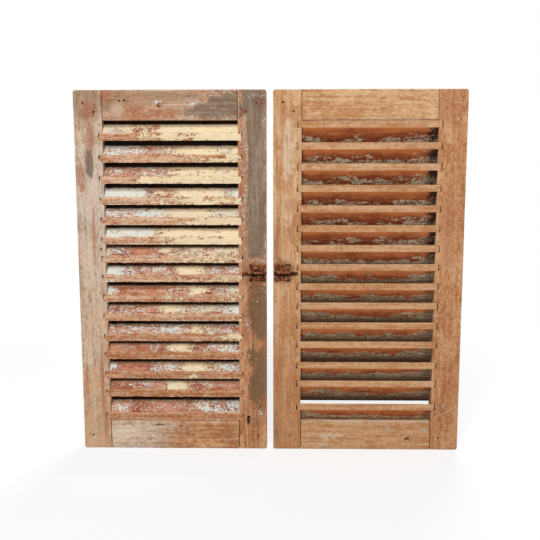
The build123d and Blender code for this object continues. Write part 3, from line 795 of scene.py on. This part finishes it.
def slat_finish(leaf, tints):
    """Slats: flaking paint and painted shade on the weather side, clean edges on the room side, dark
    undersides.
    """
    material, finish = new_finish(f"{leaf}_slat_wood")
    wood = wood_patterns(finish, "X", 38)
    up = finish.facing()[2]
    upper = up.rise(0.36, 0.5)
    under = (0 - up).rise(0.2, 0.45)
    edge = 1 - upper - under
    weather = weather_half(wood, leaf)
    depth = HALF_THICKNESS + wood.y * WEATHER_SIDE[leaf]
    lowest = 1 - wood.z.rise(LOWEST_SLAT_HEAD, LOWEST_SLAT_HEAD + 6)
    inward = 2 * HALF_THICKNESS - depth + wood.stray(flake=3) - lowest * 4
    outside, paint = slat_paint(finish, wood, upper, edge, weather, tints)
    # Painted shade deep between the slats on the weather face, where the slat above shades it: an olive
    # strip, then near-black further in; on the lowest slat it starts further in
    outside = finish.coats(
        outside,
        (inward.rise(8.5, 12.5) * upper * 0.6, tints.olive),
        (inward.rise(13, 16.5) * upper * 0.95, tints.soot_and_shade),
    )
    white_dots = wood.blend(speck=0.8, flake=0.3).rise(0.86, 0.9) * wood.z.rise(440, 640)
    chips = (in_ovals(wood.x, wood.z, SLAT_CHIPS) + (wood.speck - 0.74) * 24).rise(0, 1.5)
    room_edge = finish.coats(
        finish.mix(wood.tone, tints.amber, tints.honey),
        ((wood.mottle - 0.2).most(0) * 0.35, tints.pink),
        (white_dots.most(chips) * 0.85, tints.white),
        ((grit(wood) * 0.35).most(0.1), tints.streak),
    )
    below, old_paint = slat_underside(finish, wood, depth, tints)
    colour = finish.coats(room_edge, (under, below), (upper.most(edge * weather), outside))
    relief = wood.blend(broad=0.4, fine=0.5) + paint + old_paint * under
    finish.surface(colour, 0.82 - wood.broad * 0.1, relief, 0.35)
    return material


def iron_finish(name, iron, scale_and_glint, tints):
    """Rusty iron, pitted and scaled, with painted glints, black painted shadow under the bolts' rods, filled
    over at two corners.
    """
    material, finish = new_finish(name)
    place = finish.place()
    x, _, z = finish.parts(place)
    patchy = finish.noise(place, (6, 6, 6), 5, 0.65)
    scaly = finish.noise(place, (2.4, 2.4, 2.4), 4, 0.65, 4.4)
    from_rod = abs(z - ROD_FOOT + 2)
    filled = in_ovals(x, z, FILLED_PINS).rise(0, 1)
    colour = finish.coats(
        finish.mix(patchy.rise(0.25, 0.7), tints.soot_and_shade, iron),
        ((patchy * 0.35 + scaly * 0.7).rise(0.5, 0.75) * scale_and_glint, tints.scale),
        # Painted glints: pale cream highlights on the rust
        ((patchy * 0.4 + scaly * 0.7).rise(0.74, 0.88) * scale_and_glint * 0.7, tints.cream),
        # Painted shadow: a black band just under the bolts' rods
        ((1 - from_rod.rise(1.5, 4)) * 0.85, tints.soot_and_shade),
        (filled * 0.85, tints.tan),
    )
    finish.surface(colour, 0.7 + scaly * 0.2, scaly + patchy, 0.25)
    return material


def only(piece):
    """Makes a piece the one object that is selected and active."""
    bpy.ops.object.select_all(action="DESELECT")
    piece.select_set(True)
    bpy.context.view_layer.objects.active = piece


def pick(piece, kind, test):
    """In edit mode, selects the edges or faces that pass a test."""
    bpy.ops.mesh.select_mode(type=kind)
    bpy.ops.mesh.select_all(action="DESELECT")
    mesh = bmesh.from_edit_mesh(piece.data)
    for item in mesh.edges if kind == "EDGE" else mesh.faces:
        if test(item):
            item.select_set(True)
    mesh.select_flush_mode()
    bmesh.update_edit_mesh(piece.data)


def node_copy(node, name):
    """A merged copy of a node's mesh, as a new piece."""
    touching = 0.005 * MM
    piece = bpy.data.objects.new(name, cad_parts[node].data.copy())
    bpy.context.scene.collection.objects.link(piece)
    piece.data.materials.clear()
    only(piece)
    bpy.ops.mesh.customdata_custom_splitnormals_clear()
    bpy.ops.object.mode_set(mode="EDIT")
    bpy.ops.mesh.select_all(action="SELECT")
    bpy.ops.mesh.remove_doubles(threshold=touching)
    bpy.ops.object.mode_set(mode="OBJECT")
    return piece


def displace(piece, clouds, depth, middle, group=""):
    """Pushes a surface in and out by a cloudy texture."""
    push = piece.modifiers.new("push", "DISPLACE")
    push.texture = clouds
    push.texture_coords = "LOCAL"
    push.strength = depth
    push.mid_level = middle
    push.vertex_group = group
    only(piece)
    bpy.ops.object.modifier_apply(modifier="push")


def roughen(piece, spread, depth, inwards=HALF_IN):
    """Makes a surface uneven."""
    clouds = bpy.data.textures.new("waves", "CLOUDS")
    clouds.noise_scale = spread
    clouds.noise_depth = 2
    displace(piece, clouds, depth, inwards)


def chip(piece, spread, depth):
    """Knocks chips out of the vertices of the group of arrises."""
    clouds = bpy.data.textures.new("chips", "CLOUDS")
    clouds.noise_scale = spread
    clouds.noise_depth = 3
    clouds.contrast = 2.2
    clouds.intensity = 0.72
    displace(piece, clouds, -depth, 0, "arris")


def group_arrises(piece, weight):
    """Puts each vertex in the group of arrises by a weight from its place."""
    group = piece.vertex_groups.new(name="arris")
    for vertex in piece.data.vertices:
        share = weight(vertex.co)
        if share > 0:
            group.add([vertex.index], share, "REPLACE")


def dress(piece, material, body, slot, *nodes):
    """Gives a finished piece its material and body and hides the nodes that it stands for. The slot is not
    used.
    """
    piece.data.materials.clear()
    piece.data.materials.append(material)
    only(piece)
    bpy.ops.object.shade_smooth_by_angle(angle=SHARP)
    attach(piece, body)
    if nodes:
        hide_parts(*nodes)


def worn_board(node, axis, wear):
    """A stile or rail with rubbed arrises, cut into cells and left a little uneven."""
    piece = node_copy(node, f"{node}_worn")
    low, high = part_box(node)
    shortest = 8 * MM
    reach = 4 * MM

    def is_arris(edge):
        return len(edge.link_faces) == 2 and edge.calc_length() > shortest and edge.calc_face_angle() > SHARP

    def nearness(place):
        sides = range(3) if axis == "Z" else (1, 2)
        gaps = sorted(min(place[i] - low[i], high[i] - place[i]) for i in sides)
        return max(0, 1 - gaps[1] / reach)

    bpy.ops.object.mode_set(mode="EDIT")
    bpy.ops.mesh.select_all(action="SELECT")
    bpy.ops.mesh.dissolve_limited(angle_limit=FLAT)
    pick(piece, "EDGE", is_arris)
    bpy.ops.mesh.bevel(offset=wear.frame_round, segments=2, affect="EDGES", clamp_overlap=False)
    for direction in range(3):
        normal = Vector((direction == 0, direction == 1, direction == 2))
        cuts = round((high[direction] - low[direction]) / wear.cell)
        for cut in range(1, cuts):
            bpy.ops.mesh.select_all(action="SELECT")
            bpy.ops.mesh.bisect(plane_co=low.lerp(high, cut / cuts), plane_no=normal)
    bpy.ops.object.mode_set(mode="OBJECT")
    group_arrises(piece, nearness)
    chip(piece, wear.chip_spread, wear.chip_depth * BOARD_CHIP_SHARE)
    roughen(piece, wear.wave_spread, wear.wave_depth * BOARD_WAVE_SHARE)
    return piece


def slat_climb(node):
    """How far a slat climbs from its weather face to its room face, from the slope of its broad faces."""
    broad = max(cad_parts[node].data.polygons, key=lambda face: face.area)
    return 2 * HALF_THICKNESS * MM * abs(broad.normal.y / broad.normal.z)


def slat_corners(climb, wear):
    """A slat's corners about its middle as (y, z, rounding): weather face first, lower before upper."""
    half, rise, edge = HALF_THICKNESS * MM, climb / 2, wear.slat_edge / 2
    return (
        (-half, -rise - edge, wear.slat_round),
        (-half, edge - rise, wear.nose_round),
        (half, rise - edge, wear.slat_round),
        (half, rise + edge, wear.slat_round),
    )


def slat_blank(box, climb, wear):
    """One slat at the origin, climbing from its weather face at -Y, with rounded arrises, cut into cells."""
    low, high = box
    size = high - low
    slack = 0.01 * MM
    reach = 5 * MM

    def span(edge):
        return edge.verts[0].co - edge.verts[1].co

    def is_upright(edge):
        on_face = all(abs(abs(v.co.y) - size.y / 2) < slack for v in edge.verts)
        return on_face and abs(span(edge).z) > wear.slat_edge / 2

    bpy.ops.object.select_all(action="DESELECT")
    bpy.ops.mesh.primitive_cube_add(size=1, scale=(size.x, size.y, wear.slat_edge))
    blank = bpy.context.object
    bpy.ops.object.transform_apply(location=False, rotation=False, scale=True)
    bpy.ops.object.mode_set(mode="EDIT")
    bpy.ops.mesh.select_all(action="SELECT")
    bpy.ops.transform.translate(value=(0, 0, -climb / 2))
    pick(blank, "FACE", lambda face: face.normal.y > 0.9)
    bpy.ops.transform.translate(value=(0, 0, climb))
    for y, z, rounding in slat_corners(climb, wear):
        corner = Vector((y, z))
        pick(blank, "EDGE", lambda edge: all((v.co.yz - corner).length < slack for v in edge.verts))
        bpy.ops.mesh.bevel(offset=rounding, segments=4, affect="EDGES", clamp_overlap=False)
    for cuts, test in (
        (LENGTH_CUTS, lambda edge: abs(span(edge).x) > size.x / 2),
        (SLOPE_CUTS, lambda edge: abs(span(edge).y) > size.y / 2),
        (EDGE_CUTS, is_upright),
    ):
        pick(blank, "EDGE", test)
        bpy.ops.mesh.subdivide(number_cuts=cuts)
    bpy.ops.object.mode_set(mode="OBJECT")
    group_arrises(blank, lambda place: max(0, 1 - (size.y / 2 + place.y) / reach))
    rubbed = blank.data.attributes.new("rubbed", "FLOAT", "POINT")
    arrises = [Vector((y, z)) for y, z, _ in slat_corners(climb, wear)[:2]]
    for vertex, item in zip(blank.data.vertices, rubbed.data):
        item.value = max(0, 1 - min((vertex.co.yz - arris).length for arris in arrises) / reach)
    return blank


def cover_at(spans, share):
    """How much paint some spans leave at a share of the width."""

    def past(border):
        return min(1, max(0, (share - border) / SPAN_FADE_SHARE + 0.5))

    def inside(start, end):
        return (past(start) if start else 1) - (past(end) if end < 1 else 0)

    return sum(cover * inside(start, end) for start, end, cover in spans)


def lay_paint(piece, spans):
    """Writes along a slat how much cream and white paint it keeps on its weather side."""
    wander = 22 * MM
    width = (FIELD_OUTER - FIELD_INNER) * MM
    attribute = piece.data.attributes.new("paint", "FLOAT_COLOR", "POINT")
    for vertex, item in zip(piece.data.vertices, attribute.data):
        share = (FIELD_OUTER * MM - abs(vertex.co.x)) / width
        share += noise.noise(vertex.co / wander) * SPAN_STRAY_SHARE
        item.color = (*(cover_at(row, min(1, max(0, share))) for row in spans), 1)


class SHUTTERS_OT_frames(bpy.types.Operator):
    """Replaces the stiles and rails with worn boards"""

    bl_idname = "shutters.frames"
    bl_label = "Stiles and rails"

    def execute(self, context):
        tints, wear = context.scene.shutter_tints, context.scene.shutter_wear
        for leaf in LEAVES:
            for axis, boards in (("Z", STILES), ("X", RAILS)):
                material = frame_finish(leaf, axis, tints)
                for board in boards:
                    node = f"{leaf}_{board}"
                    dress(worn_board(node, axis, wear), material, BODY, f"{leaf}_frame", node)
        return {"FINISHED"}


class SHUTTERS_OT_slats(bpy.types.Operator):
    """Replaces the slats with worn ones that keep some paint"""

    bl_idname = "shutters.slats"
    bl_label = "Slats"

    def execute(self, context):
        tints, wear = context.scene.shutter_tints, context.scene.shutter_wear
        for leaf in LEAVES:
            material = slat_finish(leaf, tints)
            share = SLAT_WEAR_SHARE[leaf]
            first = f"{leaf}_slat_01"
            blank = slat_blank(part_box(first), slat_climb(first), wear)
            if leaf == "right":
                blank.data.transform(Matrix.Rotation(math.pi, 4, "Z"))
            for number in range(SLAT_COUNT):
                node = f"{leaf}_slat_{number + 1:02d}"
                low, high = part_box(node)
                mesh = blank.data.copy()
                mesh.transform(Matrix.Translation((low + high) / 2))
                piece = bpy.data.objects.new(f"{node}_worn", mesh)
                context.scene.collection.objects.link(piece)
                lay_paint(piece, PAINT_SPAN_SHARES[self.paint_row(leaf, number)])
                chip(piece, wear.chip_spread, wear.chip_depth * share)
                roughen(piece, wear.wave_spread, wear.wave_depth * share)
                dress(piece, material, BODY, f"{leaf}_slats", node)
            bpy.data.objects.remove(blank)
        return {"FINISHED"}

    def paint_row(self, leaf, number):
        """Which row of paint a slat keeps. The right leaf's hidden side has the rows in another order."""
        step, start = (1, 0) if leaf == "left" else (7, 4)
        return (step * number + start) % SLAT_COUNT


class SHUTTERS_OT_slide_bolts(bpy.types.Operator):
    """Replaces the slide bolts with rusted ones"""

    bl_idname = "shutters.slide_bolts"
    bl_label = "Slide bolts"

    def execute(self, context):
        tints, wear = context.scene.shutter_tints, context.scene.shutter_wear
        material = iron_finish("rusty_iron", tints.rust, 1, tints)
        for leaf in LEAVES:
            for name in BOLT_FIXED + BOLT_MOVING:
                node = f"{leaf}_{name}"
                fixed = name in BOLT_FIXED
                piece = node_copy(node, f"{node}_rusted")
                remesh = piece.modifiers.new("crust", "REMESH")
                remesh.mode = "VOXEL"
                remesh.voxel_size = wear.rust_voxel
                bpy.ops.object.modifier_apply(modifier="crust")
                roughen(piece, wear.rust_spread, wear.rust_depth, HALF_IN if fixed else MOST_IN)
                dress(piece, material, BODY if fixed else f"{leaf}_bolt", "iron", node)
        return {"FINISHED"}


class SHUTTERS_OT_pins(bpy.types.Operator):
    """Gives the pins of the corner joints a dark rusty finish"""

    bl_idname = "shutters.pins"
    bl_label = "Joint pins"

    def execute(self, context):
        tints = context.scene.shutter_tints
        material = iron_finish("rusty_pins", tints.rust, 0.3, tints)
        for leaf in LEAVES:
            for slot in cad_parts[f"{leaf}_joint_pins"].material_slots:
                slot.material = material
        return {"FINISHED"}


class SHUTTERS_OT_nails(bpy.types.Operator):
    """Adds the heads of old nails on the left leaf's front"""

    bl_idname = "shutters.nails"
    bl_label = "Old nails"

    def execute(self, context):
        tints, wear = context.scene.shutter_tints, context.scene.shutter_wear
        flat_share = 0.4
        sunk = 0.4
        material = iron_finish("rusty_nails", tints.pink, 0.25, tints)
        for number, (x, z, radius) in enumerate(NAIL_HEADS):
            bpy.ops.object.select_all(action="DESELECT")
            bpy.ops.mesh.primitive_uv_sphere_add(segments=32, ring_count=16, radius=radius * MM)
            head = bpy.context.object
            head.name = f"left_nail_head_{number + 1}"
            bpy.ops.object.mode_set(mode="EDIT")
            bpy.ops.mesh.select_all(action="SELECT")
            bpy.ops.mesh.bisect(plane_co=(0, 0, 0), plane_no=(0, 1, 0), use_fill=True, clear_outer=True)
            bpy.ops.mesh.select_all(action="SELECT")
            bpy.ops.transform.resize(value=(1, flat_share, 1), center_override=(0, 0, 0))
            bpy.ops.mesh.subdivide(number_cuts=1)
            bpy.ops.transform.translate(value=(x * MM, (sunk - HALF_THICKNESS) * MM, z * MM))
            bpy.ops.mesh.normals_make_consistent(inside=False)
            bpy.ops.object.mode_set(mode="OBJECT")
            roughen(head, wear.nail_spread, wear.nail_depth)
            dress(head, material, BODY, "iron")
        return {"FINISHED"}


class SHUTTERS_OT_stage(bpy.types.Operator):
    """Adds the floor, the light and the camera"""

    bl_idname = "shutters.stage"
    bl_label = "Stage"

    def execute(self, context):
        stage = context.scene.shutter_stage
        self.add_floor(stage)
        self.add_light(context, stage)
        bpy.ops.object.camera_add(location=stage.camera_place, rotation=stage.camera_turn)
        camera = context.object
        camera.data.lens = stage.lens
        context.scene.camera = camera
        context.scene.view_settings.view_transform = "Standard"
        return {"FINISHED"}

    def add_floor(self, stage):
        """A pale floor that shows white with the soft shadow of the leaves."""
        bpy.ops.object.select_all(action="DESELECT")
        bpy.ops.mesh.primitive_plane_add(size=2 * stage.floor_reach)
        floor = bpy.context.object
        floor.name = "floor"
        material, finish = new_finish("floor")
        grey = (stage.floor_pale, stage.floor_pale, stage.floor_pale, 1)
        bounce = finish.output("ShaderNodeBsdfDiffuse", {}, {"Color": (*stage.floor_bounce, 1)}, 0)
        plain = finish.output("ShaderNodeBsdfDiffuse", {}, {"Color": grey}, 0)
        glow = finish.output("ShaderNodeEmission", {}, {"Color": WHITE, "Strength": stage.floor_glow}, 0)
        near = finish.output("ShaderNodeAddShader", {}, {0: plain, 1: glow}, 0)
        white = finish.output("ShaderNodeEmission", {}, {"Color": WHITE, "Strength": 1.0}, 0)
        x, y, _ = finish.parts(finish.place())
        far = (x * x + y * y).root().rise(*FLOOR_FADE)
        shown = finish.output("ShaderNodeMixShader", {}, {0: far, 1: near, 2: white}, 0)
        shader = finish.output("ShaderNodeMixShader", {}, {0: seen_rays(finish), 1: bounce, 2: shown}, 0)
        finish.node("ShaderNodeOutputMaterial", {}, {0: shader})
        floor.data.materials.append(material)

    def add_light(self, context, stage):
        """A soft light above the front, a weaker one behind, and light from all round."""
        aim = Vector((0, 0, LEAF_HEIGHT / 2 * MM))
        for lamp_place, energy in ((stage.key_place, stage.key), (stage.fill_place, stage.fill)):
            place = Vector(lamp_place)
            bpy.ops.object.light_add(type="AREA", location=place)
            lamp = context.object
            lamp.rotation_euler = (aim - place).to_track_quat("-Z", "Y").to_euler()
            lamp.data.shape = "RECTANGLE"
            lamp.data.size = stage.lamp_width
            lamp.data.size_y = stage.lamp_height
            lamp.data.energy = energy
        world = bpy.data.worlds.new("studio")
        world.use_nodes = True
        context.scene.world = world
        finish = Finish(world.node_tree)
        soft = finish.output("ShaderNodeBackground", {}, {"Color": WHITE, "Strength": stage.ambient}, 0)
        shown = finish.output("ShaderNodeBackground", {}, {"Color": WHITE, "Strength": 1.0}, 0)
        shader = finish.output("ShaderNodeMixShader", {}, {0: seen_rays(finish), 1: soft, 2: shown}, 0)
        finish.node("ShaderNodeOutputWorld", {}, {0: shader})


def seen_rays(finish):
    """1 for what the camera sees, also in gloss and through glass."""
    path = finish.node("ShaderNodeLightPath", {}, {})
    kinds = ("Camera", "Glossy", "Transmission")
    return deepest([Value(finish, path.outputs[f"Is {kind} Ray"]) for kind in kinds])


OPERATORS = (
    SHUTTERS_OT_frames,
    SHUTTERS_OT_slats,
    SHUTTERS_OT_slide_bolts,
    SHUTTERS_OT_pins,
    SHUTTERS_OT_nails,
    SHUTTERS_OT_stage,
)


class SHUTTERS_PT_sidebar(bpy.types.Panel):
    """Lists the steps that dress the shutters"""

    bl_idname = "SHUTTERS_PT_sidebar"
    bl_label = "Louvred Shutters"
    bl_space_type = "VIEW_3D"
    bl_region_type = "UI"
    bl_category = "Shutters"

    def draw(self, context):
        for step in OPERATORS:
            self.layout.operator(step.bl_idname)


GROUPS = {"shutter_tints": ShutterTints, "shutter_wear": ShutterWear, "shutter_stage": ShutterStage}
CLASSES = (*GROUPS.values(), *OPERATORS, SHUTTERS_PT_sidebar)


def register():
    """Registers the classes and the scene's settings."""
    for each in CLASSES:
        bpy.utils.register_class(each)
    for name, group in GROUPS.items():
        setattr(bpy.types.Scene, name, PointerProperty(type=group))


def unregister():
    """Takes the settings and the classes away again."""
    for name in GROUPS:
        delattr(bpy.types.Scene, name)
    for each in reversed(CLASSES):
        bpy.utils.unregister_class(each)


def main():
    """Dresses the shutters."""
    register()
    bpy.ops.shutters.frames()
    bpy.ops.shutters.slats()
    bpy.ops.shutters.slide_bolts()
    bpy.ops.shutters.pins()
    bpy.ops.shutters.nails()
    bpy.ops.shutters.stage()


if __name__ == "__main__":
    main()
